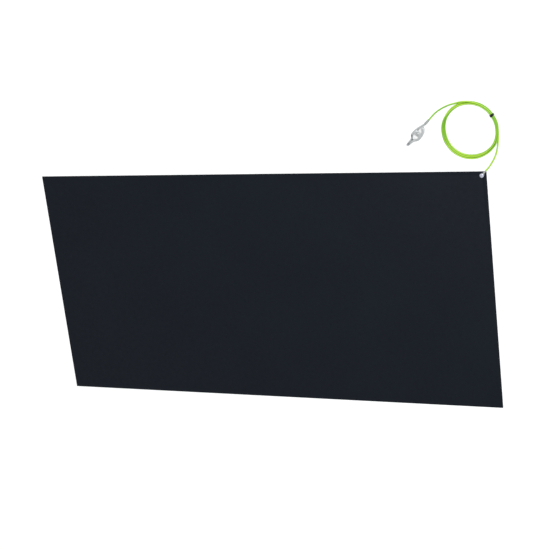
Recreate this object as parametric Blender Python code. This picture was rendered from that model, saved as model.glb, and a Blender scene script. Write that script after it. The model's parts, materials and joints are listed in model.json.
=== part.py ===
"""Static-dissipative grounding mat: a laminated mat with a press stud in one corner, and an earth lead
that snaps onto the stud, lies in a loose coil and ends in a crocodile clip.

Metres, +Z up. The origin is on the floor under the middle of the mat, and +X runs along its long side."""

import math

import bmesh
import bpy
from mathutils import Matrix, Vector

MM = 0.001

# Mat: three bonded layers, listed from the floor up as (bottom, top).
MAT_LENGTH = 1200 * MM
MAT_WIDTH = 600 * MM
MAT_THICKNESS = 2 * MM
BASE_LAYER_Z = (0.0, 0.95 * MM)
CONDUCTIVE_LAYER_Z = (1.0 * MM, 1.1 * MM)
TOP_LAYER_Z = (1.15 * MM, MAT_THICKNESS)
MAT_HOLE_RADIUS = 1.75 * MM
EYELET_RECESS_RADIUS = 5.0 * MM
EYELET_RECESS_DEPTH = 0.55 * MM

# Press stud and snap, stacked on one upright axis near the corner.
STUD_INSET = (10.6 * MM, 9.0 * MM)
STUD_XY = (MAT_LENGTH / 2 - STUD_INSET[0], MAT_WIDTH / 2 - STUD_INSET[1])

# Turned outlines in millimetres, as (radius, height) above the floor.
STUD_OUTLINE = [(0, 4.3), (1.6, 4.3), (1.6, 2.05), (4.9, 2.05), (4.9, 2.45), (4.5, 2.65), (2.5, 2.7),
                (2.5, 3.45), (2.85, 3.75), (2.85, 4.35), (2.4, 4.8), (1.2, 4.95), (0, 4.97)]
EYELET_OUTLINE = [(0, 0), (4.3, 0), (4.75, 0.15), (4.75, 0.35), (4.4, 0.48), (1.5, 0.48), (1.5, 4.1),
                  (0, 4.15)]
SOCKET_OUTLINE = [(3.8, 2.98), (4.7, 2.98), (4.95, 3.2), (4.95, 5.1), (4.7, 5.35), (1.3, 5.35), (1.3, 5.1),
                  (3.15, 5.1), (3.15, 3.75), (3.8, 3.75)]
CAP_OUTLINE = [(0, 5.16), (1.2, 5.16), (1.2, 6.05), (4.7, 6.05), (5.05, 6.15), (5.15, 6.35), (5.0, 6.6),
               (4.2, 6.82), (2.2, 6.97), (0, 7.02)]
SPRING_RING_RADIUS = 2.95 * MM
SPRING_RING_WIRE_RADIUS = 0.28 * MM
SPRING_RING_Z = 3.3 * MM

# Ring terminal, pointing out over the corner.
TERMINAL_AZIMUTH = math.radians(48)
TERMINAL_RING_RADIUS = 4.4 * MM
TERMINAL_HOLE_RADIUS = 2.0 * MM
TERMINAL_TONGUE_REACH = 8.5 * MM
TERMINAL_TONGUE_WIDTH = 3.4 * MM
TERMINAL_SHEET_Z = (5.45 * MM, 5.95 * MM)
TERMINAL_BARREL_REACH = (6.4 * MM, 14.2 * MM)
TERMINAL_BARREL_RADIUS = 1.9 * MM
TERMINAL_BARREL_BORE = 1.4 * MM
TERMINAL_AXIS_Z = 4.2 * MM

# Earth lead.
CORD_DIAMETER = 3.8 * MM
CONDUCTOR_RADIUS = 1.25 * MM
CONDUCTOR_SHOWS = 0.2 * MM
TOUCH_GAP = 0.3 * MM
COIL_CENTRE = (568.6 * MM, 399.8 * MM)
COIL_MEAN_RADIUS = 63.6 * MM
COIL_SOLID_WIDTH = 11.8 * MM
COIL_SOLID_HEIGHT = 8.0 * MM
TIE_ANGLE = math.radians(32)
TIE_STRAP_WIDTH = 4.8 * MM
TIE_STRAP_THICKNESS = 1.1 * MM
TIE_INSIDE_Z = (1.2 * MM, 7.3 * MM)
TIE_INSIDE_INSET = 1.3 * MM
TIE_HEAD = (6.4 * MM, 7.0 * MM, 4.6 * MM)
CORD_FLOOR_Z = CORD_DIAMETER / 2 + 0.05 * MM
CORD_STEP = 8 * MM
LEAD_IN_ROUTE = [(0.6071, 0.3099, 0.0030), (0.6124, 0.3172, CORD_FLOOR_Z), (0.6187, 0.3267, CORD_FLOOR_Z),
                 (0.6237, 0.3360, CORD_FLOOR_Z), (0.6275, 0.3456, CORD_FLOOR_Z),
                 (0.6302, 0.3555, CORD_FLOOR_Z), (0.6320, 0.3653, CORD_FLOOR_Z)]
LEAD_OUT_ROUTE = [(0.4862, 0.4400, CORD_FLOOR_Z), (0.4945, 0.4464, CORD_FLOOR_Z),
                  (0.5084, 0.4542, CORD_FLOOR_Z), (0.5231, 0.4601, CORD_FLOOR_Z),
                  (0.5334, 0.4627, CORD_FLOOR_Z)]

# Crocodile clip, lying on its side. Its own axes are p, from the pivot to the nose, and q, across it.
CLIP_PIVOT = (443.8 * MM, 394.9 * MM)
CLIP_AZIMUTH = math.radians(223.5)
CLIP_SHEET = 0.8 * MM
CLIP_OUTER_Z = (0.7 * MM, 9.7 * MM)
CLIP_NEST_GAP = 0.3 * MM
CLIP_NESTED_Z = (CLIP_OUTER_Z[0] + CLIP_SHEET + CLIP_NEST_GAP, CLIP_OUTER_Z[1] - CLIP_SHEET - CLIP_NEST_GAP)
CLIP_MIDDLE_Z = sum(CLIP_OUTER_Z) / 2
PIN_RADIUS = 1.5 * MM
PIN_HEAD_RADIUS = 2.6 * MM
PIN_HEAD_HEIGHT = 0.5 * MM
PIN_CLEARANCE = 0.1 * MM
JAW_TEETH = 7
JAW_TOOTH_DEPTH = 0.9 * MM
JAW_MOUTH = (21.5 * MM, 39.0 * MM)
NECK_OFFSET = -3.1 * MM
BARREL_REACH = (-36.0 * MM, -23.0 * MM)
BARREL_RADIUS = 2.3 * MM
BARREL_BORE = 1.6 * MM
SLEEVE_REACH = (-43.0 * MM, -29.0 * MM)
SLEEVE_RADIUS = 2.9 * MM
SLEEVE_BORE = 2.45 * MM
SPRING_COIL_RADIUS = 2.45 * MM
SPRING_WIRE_RADIUS = 0.4 * MM
SPRING_TURNS = 3
SPRING_LEG_ENDS = ((-11.5 * MM, -8.0 * MM), (-10.5 * MM, 8.4 * MM))

# Outlines of the clip's arms in millimetres, as (p, q). The backs run from tail to nose.
FIXED_BACK = [(-27, -5.4), (-21.5, -7.2), (-15, -9.0), (-7, -10.8), (2, -11.7), (9, -11.6), (14, -9.4),
              (17.5, -6.0), (21.5, -4.0), (30, -3.2), (37, -2.6)]
FIXED_WINDOW_FRONT = [(18.0, -1.4), (15.6, -3.6), (12.4, -6.0), (9.4, -6.9), (6.8, -6.2), (5.6, -3.4),
                      (5.4, -0.8)]
FIXED_WINDOW_REAR = [(-5.4, -0.8), (-5.5, -4.0), (-6.6, -7.2), (-8.8, -7.7), (-11.6, -6.2), (-14.2, -4.4),
                     (-17.5, -3.4), (-22, -3.3), (-27, -3.9)]
MOVING_BACK = [(-19.6, -1.2), (-19.8, 1.2), (-18.4, 4.2), (-15.4, 7.2), (-11.4, 9.6), (-5, 11.6), (2, 12.6),
               (8, 12.8), (13, 11.6), (17.5, 8.8), (22, 6.0), (29, 4.6), (37, 3.6)]
MOVING_WINDOW_FRONT = [(18.0, 1.8), (15.2, 3.8), (12.4, 6.4), (9.2, 7.9), (6.2, 7.4), (5.0, 5.2), (5.4, 1.4)]
MOVING_WINDOW_REAR = [(-5.4, 1.4), (-5.5, 3.6), (-6.8, 5.5), (-9.0, 5.2), (-11.4, 3.2), (-13.2, 0.8),
                      (-14.6, -1.1)]
EAR_RADIUS = 4.9 * MM
NOSE_TIP = 40.0 * MM
MOUTH_HALF_GAP = 0.15 * MM


def clear_scene():
    for obj in list(bpy.data.objects):
        bpy.data.objects.remove(obj, do_unlink=True)


def material(name, colour, roughness, metallic=0.0):
    made = bpy.data.materials.new(name)
    made.use_nodes = True
    shader = made.node_tree.nodes["Principled BSDF"]
    shader.inputs["Base Color"].default_value = (*colour, 1.0)
    shader.inputs["Roughness"].default_value = roughness
    shader.inputs["Metallic"].default_value = metallic
    return made


def link(name, data, finish, parent=None, location=(0, 0, 0), rotation_z=0.0):
    obj = bpy.data.objects.new(name, data)
    obj.location = location
    obj.rotation_euler.z = rotation_z
    obj.parent = parent
    if finish:
        obj.data.materials.append(finish)
    bpy.context.scene.collection.objects.link(obj)
    return obj


def empty(name, location, rotation_z=0.0):
    return link(name, None, None, None, location, rotation_z)


def shade(mesh):
    mesh.shade_smooth()
    mesh.set_sharp_from_angle(angle=math.radians(35))


def mesh_from(name, bm):
    bmesh.ops.recalc_face_normals(bm, faces=bm.faces)
    mesh = bpy.data.meshes.new(name)
    bm.to_mesh(mesh)
    bm.free()
    shade(mesh)
    return mesh


def prism(name, outline, z_range):
    """A closed upright prism over a flat outline."""
    bm = bmesh.new()
    low = [bm.verts.new((x, y, z_range[0])) for x, y in outline]
    face = bm.faces.new(low)
    raised = bmesh.ops.extrude_face_region(bm, geom=[face])["geom"]
    upper = [v for v in raised if isinstance(v, bmesh.types.BMVert)]
    bmesh.ops.translate(bm, vec=(0, 0, z_range[1] - z_range[0]), verts=upper)
    return mesh_from(name, bm)


def turned(name, profile, sides):
    """A closed turned shape from its (radius, height) profile."""
    bm = bmesh.new()
    verts = [bm.verts.new((r, 0, z)) for r, z in profile]
    edges = [bm.edges.new((verts[i], verts[i + 1])) for i in range(len(verts) - 1)]
    if profile[0][0] > 0:
        edges.append(bm.edges.new((verts[-1], verts[0])))
    geometry = verts + edges
    bmesh.ops.spin(bm, geom=geometry, cent=(0, 0, 0), axis=(0, 0, 1), angle=math.tau, steps=sides)
    bmesh.ops.remove_doubles(bm, verts=bm.verts, dist=1e-7)
    return mesh_from(name, bm)


def turned_mm(name, outline, sides):
    return turned(name, [(r * MM, z * MM) for r, z in outline], sides)


def circle(radius, sides):
    angles = [math.tau * i / sides for i in range(sides)]
    return [(radius * math.cos(a), radius * math.sin(a)) for a in angles]


def cutter(name, mesh, parent=None, location=(0, 0, 0), rotation_z=0.0):
    obj = link(name, mesh, None, parent, location, rotation_z)
    obj.hide_render = True
    obj.display_type = "WIRE"
    return obj


def boolean(obj, operation, other):
    """Cuts or joins at once, so that the new edges are sharp where they should be."""
    modifier = obj.modifiers.new(operation.title(), "BOOLEAN")
    modifier.operation = operation
    modifier.solver = "EXACT"
    modifier.object = other
    bpy.context.view_layer.update()
    graph = bpy.context.evaluated_depsgraph_get()
    shaped = bpy.data.meshes.new_from_object(obj.evaluated_get(graph))
    obj.modifiers.remove(modifier)
    obj.data = shaped
    shade(shaped)


def between(a, b, c, d, t):
    """A point on the Catmull-Rom curve from b to c."""
    bend = 2 * a - 5 * b + 4 * c - d
    twist = 3 * b - a - 3 * c + d
    return 0.5 * (2 * b + (c - a) * t + bend * t**2 + twist * t**3)


def smooth_curve(points, step):
    """Points about one step apart on a smooth curve through the given points."""
    points = [Vector(p) for p in points]
    ends = [2 * points[0] - points[1], *points, 2 * points[-1] - points[-2]]
    dense = []
    for i in range(len(points) - 1):
        neighbours = ends[i : i + 4]
        pieces = max(2, round((neighbours[2] - neighbours[1]).length / step))
        dense += [between(*neighbours, k / pieces) for k in range(pieces)]
    return [*dense, points[-1]]


def tube(name, points, radius, finish, sides_resolution=2):
    """A cord along a list of points, as a curve with a round bevel and filled ends."""
    curve = bpy.data.curves.new(name, "CURVE")
    curve.dimensions = "3D"
    curve.bevel_depth = radius
    curve.bevel_resolution = sides_resolution
    curve.use_fill_caps = True
    spline = curve.splines.new("POLY")
    spline.points.add(len(points) - 1)
    for point, place in zip(spline.points, points):
        point.co = (*place, 1.0)
    return link(name, curve, finish)


def lying_pipe(name, reach, radius, bore, sides=24):
    """A pipe, or a rod where bore is 0, along +X between two reaches."""
    if bore:
        profile = [(radius, reach[1]), (radius, reach[0]), (bore, reach[0]), (bore, reach[1])]
    else:
        profile = [(0, reach[1]), (radius, reach[1]), (radius, reach[0]), (0, reach[0])]
    mesh = turned(name, profile, sides)
    mesh.transform(Matrix.Rotation(math.radians(90), 4, "Y"))
    return mesh


def rectangle(length, width):
    x, y = length / 2, width / 2
    return [(-x, -y), (x, -y), (x, y), (-x, y)]


def build_mat(rubber, carbon):
    place = (*STUD_XY, 0)
    hole = prism("stud_hole", circle(MAT_HOLE_RADIUS, 32), (-MM, MAT_THICKNESS + MM))
    hole = cutter("stud_hole", hole, None, place)
    recess = prism("eyelet_recess", circle(EYELET_RECESS_RADIUS, 48), (-MM, EYELET_RECESS_DEPTH))
    recess = cutter("eyelet_recess", recess, None, place)
    layers = [("base_layer", BASE_LAYER_Z, rubber), ("conductive_layer", CONDUCTIVE_LAYER_Z, carbon),
              ("top_layer", TOP_LAYER_Z, rubber)]
    for name, z_range, finish in layers:
        layer = link(name, prism(name, rectangle(MAT_LENGTH, MAT_WIDTH), z_range), finish)
        boolean(layer, "DIFFERENCE", hole)
        if name == "base_layer":
            boolean(layer, "DIFFERENCE", recess)


def build_stud(steel):
    """The stud's flange rests on the mat, and the eyelet's barrel comes up through the mat into it."""
    place = (*STUD_XY, 0)
    link("press_stud", turned_mm("press_stud", STUD_OUTLINE, 40), steel, None, place)
    link("stud_eyelet", turned_mm("stud_eyelet", EYELET_OUTLINE, 40), steel, None, place)


def build_snap(steel, brass, copper):
    """The snap on the stud: socket, ring spring, ring terminal and riveted cap."""
    frame = empty("snap_frame", (*STUD_XY, 0), TERMINAL_AZIMUTH)
    link("snap_socket", turned_mm("snap_socket", SOCKET_OUTLINE, 40), steel, frame)
    ring = []
    for x, y in circle(SPRING_RING_WIRE_RADIUS, 8):
        ring.append((SPRING_RING_RADIUS + x, SPRING_RING_Z + y))
    link("socket_spring", turned("socket_spring", ring, 32), brass, frame)
    link("snap_cap", turned_mm("snap_cap", CAP_OUTLINE, 40), steel, frame)
    build_terminal(steel, copper, frame)


def terminal_plate():
    """The outline of the ring with its tongue."""
    half = TERMINAL_TONGUE_WIDTH / 2
    start = math.asin(half / TERMINAL_RING_RADIUS)
    arc = [start + (math.tau - 2 * start) * i / 32 for i in range(33)]
    ring = [(TERMINAL_RING_RADIUS * math.cos(a), TERMINAL_RING_RADIUS * math.sin(a)) for a in arc]
    return ring + [(TERMINAL_TONGUE_REACH, -half), (TERMINAL_TONGUE_REACH, half)]


def build_terminal(steel, copper, frame):
    """A ring under the cap, a short tongue, and a crimp barrel that holds the conductor."""
    plate = prism("ring_terminal", terminal_plate(), TERMINAL_SHEET_Z)
    terminal = link("ring_terminal", plate, steel, frame)
    hole = prism("terminal_hole", circle(TERMINAL_HOLE_RADIUS, 32), (4 * MM, 7 * MM))
    boolean(terminal, "DIFFERENCE", cutter("terminal_hole", hole, frame))
    axis = (0, 0, TERMINAL_AXIS_Z)
    start, end = TERMINAL_BARREL_REACH
    barrel = lying_pipe("terminal_barrel", (start, end), TERMINAL_BARREL_RADIUS, 0)
    boolean(terminal, "UNION", cutter("terminal_barrel", barrel, frame, axis))
    bore = lying_pipe("terminal_bore", (start - MM, end + MM), TERMINAL_BARREL_BORE, 0)
    boolean(terminal, "DIFFERENCE", cutter("terminal_bore", bore, frame, axis))
    conductor_reach = (start + TOUCH_GAP, end + CONDUCTOR_SHOWS)
    conductor = lying_pipe("conductor_at_snap", conductor_reach, CONDUCTOR_RADIUS, 0, 16)
    link("conductor_at_snap", conductor, copper, frame, axis)


def clip_to_floor(p, q):
    """A point of the clip's own (p, q) plane, on the floor plan."""
    along = Vector((math.cos(CLIP_AZIMUTH), math.sin(CLIP_AZIMUTH)))
    across = Vector((-along.y, along.x))
    return Vector(CLIP_PIVOT) + p * along + q * across


def build_leads(insulation):
    """The cord from the snap to the coil, and from the coil to the clip."""
    outward = Vector((math.cos(TERMINAL_AZIMUTH), math.sin(TERMINAL_AZIMUTH)))
    reach = TERMINAL_BARREL_REACH[1] + CONDUCTOR_SHOWS + TOUCH_GAP
    start = Vector(STUD_XY) + reach * outward
    after = Vector(STUD_XY) + (reach + 3.5 * MM) * outward
    route = [(*start, TERMINAL_AXIS_Z), (*after, 4.0 * MM), *LEAD_IN_ROUTE]
    tube("cord_lead_in", smooth_curve(route, CORD_STEP), CORD_DIAMETER / 2, insulation)

    mouth = clip_to_floor(SLEEVE_REACH[0] - TOUCH_GAP, NECK_OFFSET)
    behind = clip_to_floor(SLEEVE_REACH[0] - 6 * MM, NECK_OFFSET - 0.2 * MM)
    route = [(*mouth, CLIP_MIDDLE_Z), (*behind, 3.9 * MM), *LEAD_OUT_ROUTE]
    tube("cord_lead_out", smooth_curve(route, CORD_STEP), CORD_DIAMETER / 2, insulation)


def coil_section():
    """The coil's section as (across from its middle, height), flat at the floor and with cut corners."""
    half = COIL_SOLID_WIDTH / 2
    low = 0.1 * MM
    high = low + COIL_SOLID_HEIGHT
    return [(-half, low + 2 * MM), (-half + 1.2 * MM, low), (half - 1.2 * MM, low), (half, low + 2 * MM),
            (half, high - 2.4 * MM), (half - 2 * MM, high), (-half + 2 * MM, high), (-half, high - 2.4 * MM)]


def build_coil(insulation, tie_plastic):
    ring = [(COIL_MEAN_RADIUS + across, z) for across, z in coil_section()]
    coil = link("cord_coil", turned("cord_coil", ring, 96), insulation, None, (*COIL_CENTRE, 0))
    outward = Vector((math.cos(TIE_ANGLE), math.sin(TIE_ANGLE)))
    frame = empty("tie_frame", (*(Vector(COIL_CENTRE) + COIL_MEAN_RADIUS * outward), 0), TIE_ANGLE)
    build_tie(coil, frame, tie_plastic)


def build_tie(coil, frame, plastic):
    """A flat strap around the coil's section, with its ratchet head on top."""
    reach = COIL_SOLID_WIDTH / 2 - TIE_INSIDE_INSET
    low, high = TIE_INSIDE_Z
    notch = strap_section("tie_notch", reach - TOUCH_GAP, low + TOUCH_GAP, high - TOUCH_GAP,
                          4 * MM, TIE_STRAP_WIDTH + 2 * TOUCH_GAP)
    boolean(coil, "DIFFERENCE", cutter("tie_notch", notch, frame))
    strap = strap_section("cable_tie", reach, low, high, TIE_STRAP_THICKNESS, TIE_STRAP_WIDTH)
    tie = link("cable_tie", strap, plastic, frame)
    width, length, height = TIE_HEAD
    head_z = 0.1 * MM + COIL_SOLID_HEIGHT + TOUCH_GAP
    neck_outline = rectangle(width - 2 * MM, TIE_STRAP_WIDTH - 0.2 * MM)
    neck = prism("tie_neck", neck_outline, (high + TOUCH_GAP, head_z + MM))
    boolean(tie, "UNION", cutter("tie_neck", neck, frame))
    head = prism("tie_head", rectangle(width, length), (head_z, head_z + height))
    boolean(tie, "UNION", cutter("tie_head", head, frame))


def strap_section(name, half_inside, low, high, thickness, width):
    """A flat band bent into a closed rectangle with cut corners, standing across the local Y axis."""
    bm = bmesh.new()
    chamfer = 1.2 * MM

    def loop(reach, bottom, top, y):
        corners = [(-reach + chamfer, bottom), (reach - chamfer, bottom), (reach, bottom + chamfer),
                   (reach, top - chamfer), (reach - chamfer, top), (-reach + chamfer, top),
                   (-reach, top - chamfer), (-reach, bottom + chamfer)]
        return [bm.verts.new((x, y, z)) for x, z in corners]

    sides = (-width / 2, width / 2)
    inner = [loop(half_inside, low, high, y) for y in sides]
    outer = [loop(half_inside + thickness, low - thickness, high + thickness, y) for y in sides]
    count = len(inner[0])
    for i in range(count):
        j = (i + 1) % count
        bm.faces.new((inner[0][i], inner[0][j], inner[1][j], inner[1][i]))
        bm.faces.new((outer[0][i], outer[1][i], outer[1][j], outer[0][j]))
        bm.faces.new((inner[0][i], outer[0][i], outer[0][j], inner[0][j]))
        bm.faces.new((inner[1][i], inner[1][j], outer[1][j], outer[1][i]))
    return mesh_from(name, bm)


def flat_curve(points, step=2.2):
    return [(p.x * MM, p.y * MM) for p in smooth_curve([(*p, 0) for p in points], step)]


def teeth(lift):
    """The toothed edge of the jaws, from the nose back to the throat."""
    low, high = JAW_MOUTH
    pitch = (high - low) / JAW_TEETH
    points = []
    for i in range(JAW_TEETH):
        tip = high - i * pitch
        points.append((tip, lift - JAW_TOOTH_DEPTH / 2))
        points.append((tip - pitch / 2, lift + JAW_TOOTH_DEPTH / 2))
    points.append((low, lift - JAW_TOOTH_DEPTH / 2))
    return points


def ear(side):
    """The round lug about the pivot, from the front window to the rear one; side is +1 towards +q."""
    angles = [math.radians(8 + 164 * i / 10) for i in range(11)]
    return [(EAR_RADIUS * math.cos(a), side * EAR_RADIUS * math.sin(a)) for a in angles]


def arm_outline(back, front_window, rear_window, lift, ear_side):
    nose = [(NOSE_TIP, back[-1][1] * MM * 0.72), (NOSE_TIP, lift)]
    front = flat_curve(front_window)
    rear = flat_curve(rear_window)
    return flat_curve(back) + nose + teeth(lift) + front + ear(ear_side) + rear


def arm_cavity(back, side):
    """The hollow between the arm's flanges: the back moved in by one sheet, and open past the mouth."""
    curve = flat_curve(back)
    moved = []
    for i, here in enumerate(curve):
        before = Vector(curve[max(i - 1, 0)])
        after = Vector(curve[min(i + 1, len(curve) - 1)])
        along = (after - before).normalized()
        inward = Vector((-along.y, along.x)) * side
        moved.append(Vector(here) + CLIP_SHEET * inward)
    moved[-1].x = NOSE_TIP - CLIP_SHEET
    far = side * 14 * MM
    tail = moved[0].x - 4 * MM
    return [(tail, moved[0].y)] + [tuple(m) for m in moved] + [(moved[-1].x, far), (tail, far)]


def build_arm(name, outline, cavity, z_range, finish, frame):
    arm = link(name, prism(name, outline, z_range), finish, frame)
    hollow = prism(name + "_hollow", cavity, (z_range[0] + CLIP_SHEET, z_range[1] - CLIP_SHEET))
    boolean(arm, "DIFFERENCE", cutter(name + "_hollow", hollow, frame))
    hole = prism(name + "_pin_hole", circle(PIN_RADIUS + PIN_CLEARANCE, 24), (-MM, 12 * MM))
    boolean(arm, "DIFFERENCE", cutter(name + "_pin_hole", hole, frame))
    return arm


def build_fixed_arm(steel, frame):
    """The outer arm, whose tail is rolled into the barrel that holds the conductor."""
    outline = arm_outline(FIXED_BACK, FIXED_WINDOW_FRONT, FIXED_WINDOW_REAR, -MOUTH_HALF_GAP, 1)
    arm = build_arm("clip_fixed_arm", outline, arm_cavity(FIXED_BACK, 1), CLIP_OUTER_Z, steel, frame)
    barrel = lying_pipe("neck_barrel", BARREL_REACH, BARREL_RADIUS, BARREL_BORE)
    boolean(arm, "UNION", cutter("neck_barrel", barrel, frame, (0, NECK_OFFSET, CLIP_MIDDLE_Z)))


def build_moving_arm(steel, frame):
    """The arm that swings between the outer arm's flanges."""
    outline = arm_outline(MOVING_BACK, MOVING_WINDOW_FRONT, MOVING_WINDOW_REAR, MOUTH_HALF_GAP, -1)
    build_arm("clip_moving_arm", outline, arm_cavity(MOVING_BACK, -1), CLIP_NESTED_Z, steel, frame)


def build_clip(steel, spring_steel, copper, sleeve_plastic):
    frame = empty("clip_frame", (*CLIP_PIVOT, 0), CLIP_AZIMUTH)
    build_fixed_arm(steel, frame)
    build_moving_arm(steel, frame)
    build_pin(steel, frame)
    build_spring(spring_steel, frame)
    axis = (0, NECK_OFFSET, CLIP_MIDDLE_Z)
    conductor_reach = (SLEEVE_REACH[0] + TOUCH_GAP, BARREL_REACH[1] - MM)
    conductor = lying_pipe("conductor_at_clip", conductor_reach, CONDUCTOR_RADIUS, 0, 16)
    link("conductor_at_clip", conductor, copper, frame, axis)
    sleeve = lying_pipe("clip_sleeve", SLEEVE_REACH, SLEEVE_RADIUS, SLEEVE_BORE)
    link("clip_sleeve", sleeve, sleeve_plastic, frame, axis)


def build_pin(steel, frame):
    low = CLIP_OUTER_Z[0] - PIN_CLEARANCE
    high = CLIP_OUTER_Z[1] + PIN_CLEARANCE
    bottom = low - PIN_HEAD_HEIGHT
    top = high + PIN_HEAD_HEIGHT
    face = 0.8 * PIN_HEAD_RADIUS
    profile = [(0, bottom), (face, bottom), (PIN_HEAD_RADIUS, low), (PIN_RADIUS, low), (PIN_RADIUS, high),
               (PIN_HEAD_RADIUS, high), (face, top), (0, top)]
    link("clip_pivot_pin", turned("clip_pivot_pin", profile, 24), steel, frame)


def build_spring(spring_steel, frame):
    """A torsion spring around the pin, with one leg on the back of each arm."""
    inset = CLIP_SHEET + SPRING_WIRE_RADIUS + 0.25 * MM
    low = CLIP_NESTED_Z[0] + inset
    high = CLIP_NESTED_Z[1] - inset
    fixed_end, moving_end = [Vector(end) for end in SPRING_LEG_ENDS]
    start = math.atan2(fixed_end.y, fixed_end.x) + math.acos(SPRING_COIL_RADIUS / fixed_end.length)
    end = math.atan2(moving_end.y, moving_end.x) - math.acos(SPRING_COIL_RADIUS / moving_end.length)
    sweep = (end - start) % math.tau + math.tau * SPRING_TURNS
    steps = 16 * SPRING_TURNS
    coil = []
    for i in range(steps + 1):
        angle = start + sweep * i / steps
        height = low + (high - low) * i / steps
        coil.append((SPRING_COIL_RADIUS * math.cos(angle), SPRING_COIL_RADIUS * math.sin(angle), height))
    points = [(*fixed_end, low), *coil, (*moving_end, high)]
    spring = tube("clip_spring", points, SPRING_WIRE_RADIUS, spring_steel, 1)
    spring.parent = frame


def main():
    clear_scene()
    rubber = material("mat_rubber", (0.013, 0.016, 0.021), 0.62)
    carbon = material("carbon_scrim", (0.006, 0.006, 0.007), 0.8)
    steel = material("nickel_plated_steel", (0.62, 0.63, 0.66), 0.28, 1.0)
    spring_steel = material("spring_steel", (0.45, 0.45, 0.46), 0.35, 1.0)
    brass = material("phosphor_bronze", (0.6, 0.42, 0.22), 0.35, 1.0)
    copper = material("tinned_copper", (0.7, 0.42, 0.28), 0.4, 1.0)
    insulation = material("green_yellow_insulation", (0.36, 0.6, 0.03), 0.42)
    sleeve_plastic = material("grey_sleeve", (0.45, 0.47, 0.46), 0.5)
    tie_plastic = material("black_nylon", (0.02, 0.02, 0.02), 0.45)

    build_mat(rubber, carbon)
    build_stud(steel)
    build_snap(steel, brass, copper)
    build_leads(insulation)
    build_coil(insulation, tie_plastic)
    build_clip(steel, spring_steel, copper, sleeve_plastic)


main()
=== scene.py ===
"""Looks of a static-dissipative bench mat and its earth lead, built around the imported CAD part.

Metres, +Z up, in the CAD frame: the origin is on the floor under the middle of the mat."""

import json
import math

import bmesh
import bpy
import numpy as np
from mathutils import Matrix, Vector


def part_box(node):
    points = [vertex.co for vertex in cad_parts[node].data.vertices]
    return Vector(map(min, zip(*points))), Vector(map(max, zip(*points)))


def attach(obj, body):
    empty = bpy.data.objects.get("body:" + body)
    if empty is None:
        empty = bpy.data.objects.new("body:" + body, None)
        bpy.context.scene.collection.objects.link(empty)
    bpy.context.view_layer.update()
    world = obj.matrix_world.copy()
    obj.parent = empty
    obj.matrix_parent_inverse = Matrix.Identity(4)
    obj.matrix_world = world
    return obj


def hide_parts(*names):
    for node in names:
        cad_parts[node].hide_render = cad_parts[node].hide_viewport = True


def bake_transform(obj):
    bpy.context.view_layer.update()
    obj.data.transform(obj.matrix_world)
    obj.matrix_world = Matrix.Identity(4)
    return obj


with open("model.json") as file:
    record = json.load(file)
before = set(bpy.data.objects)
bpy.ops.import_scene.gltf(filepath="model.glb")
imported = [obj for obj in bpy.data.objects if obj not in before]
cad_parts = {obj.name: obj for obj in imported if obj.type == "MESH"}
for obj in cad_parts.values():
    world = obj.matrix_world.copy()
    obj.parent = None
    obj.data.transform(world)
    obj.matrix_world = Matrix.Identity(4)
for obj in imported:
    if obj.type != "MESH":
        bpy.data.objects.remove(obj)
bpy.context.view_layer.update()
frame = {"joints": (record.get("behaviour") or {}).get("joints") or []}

MM = 0.001
SLIVER = 0.0005 * MM

# Camera: high over the corner with the lead, rolled so that the mat's long side runs across the picture.
CAMERA_PLACE = Vector((1.48174, 1.18695, 3.25456))
CAMERA_RIGHT = Vector((0.92205, -0.11291, -0.37023))
CAMERA_BACK = Vector((0.38674, 0.30772, 0.86933))
SENSOR_MM = 36.0
LENS_MM = 96.85

# Mat, worked out from its CAD layers.
BASE_LOW, BASE_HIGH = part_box("base_layer")
TOP_LOW, TOP_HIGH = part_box("top_layer")
SCRIM_LOW, SCRIM_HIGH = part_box("conductive_layer")
STUD_LOW, STUD_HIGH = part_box("press_stud")
STUD_XY = (STUD_LOW + STUD_HIGH).xy / 2
MAT_CORNER_RADIUS = 1.2 * MM
SCRIM_INSET = 0.05 * MM
MAT_HOLE_RADIUS = 1.75 * MM
EYELET_RECESS_RADIUS = 5.0 * MM
EYELET_RECESS_DEPTH = 0.55 * MM
PUNCH_REACH = (-MM, 5 * MM)
TOP_EDGE = 0.28 * MM
BASE_EDGE = 0.15 * MM

# Turned outlines of the press stud and the snap in millimetres, as (radius, height) above the floor.
STUD_OUTLINE = [(0, 4.4), (1.3, 4.4), (1.6, 4.1), (1.6, 2.05), (4.7, 2.05), (4.9, 2.2), (4.86, 2.42),
                (4.5, 2.62), (2.9, 2.66), (2.5, 2.82), (2.46, 3.35), (2.62, 3.6), (2.85, 3.85), (2.87, 4.2),
                (2.6, 4.6), (1.9, 4.86), (0.9, 4.95), (0, 4.97)]
EYELET_OUTLINE = [(0, 0.35), (0.9, 0.32), (1.2, 0.1), (1.6, 0.0), (4.3, 0.0), (4.65, 0.08), (4.75, 0.22),
                  (4.7, 0.38), (4.4, 0.48), (1.5, 0.48), (1.5, 3.9), (1.35, 4.1), (0, 4.15)]
SOCKET_OUTLINE = [(3.8, 3.05), (3.95, 2.98), (4.5, 2.98), (4.7, 3.08), (4.75, 3.3), (4.73, 4.9), (4.65, 5.15),
                  (4.4, 5.32), (4.1, 5.35), (1.3, 5.35), (1.3, 5.1), (3.0, 5.1), (3.15, 4.95), (3.15, 3.8),
                  (3.3, 3.7), (3.75, 3.7), (3.8, 3.6)]
CAP_OUTLINE = [(0, 5.16), (1.2, 5.16), (1.2, 6.0), (4.4, 6.02), (4.72, 6.1), (4.87, 6.25), (4.9, 6.4),
               (4.78, 6.6), (4.5, 6.75), (4.15, 6.8), (3.9, 6.76), (3.7, 6.8), (3.0, 6.9), (1.6, 6.99),
               (0, 7.02)]
SPRING_RING_RADIUS = 2.95 * MM
SPRING_RING_Z = 3.3 * MM
SPRING_RING_WAVE = 0.12 * MM
SPRING_RING_WIRE_RADIUS = 0.26 * MM
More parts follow.
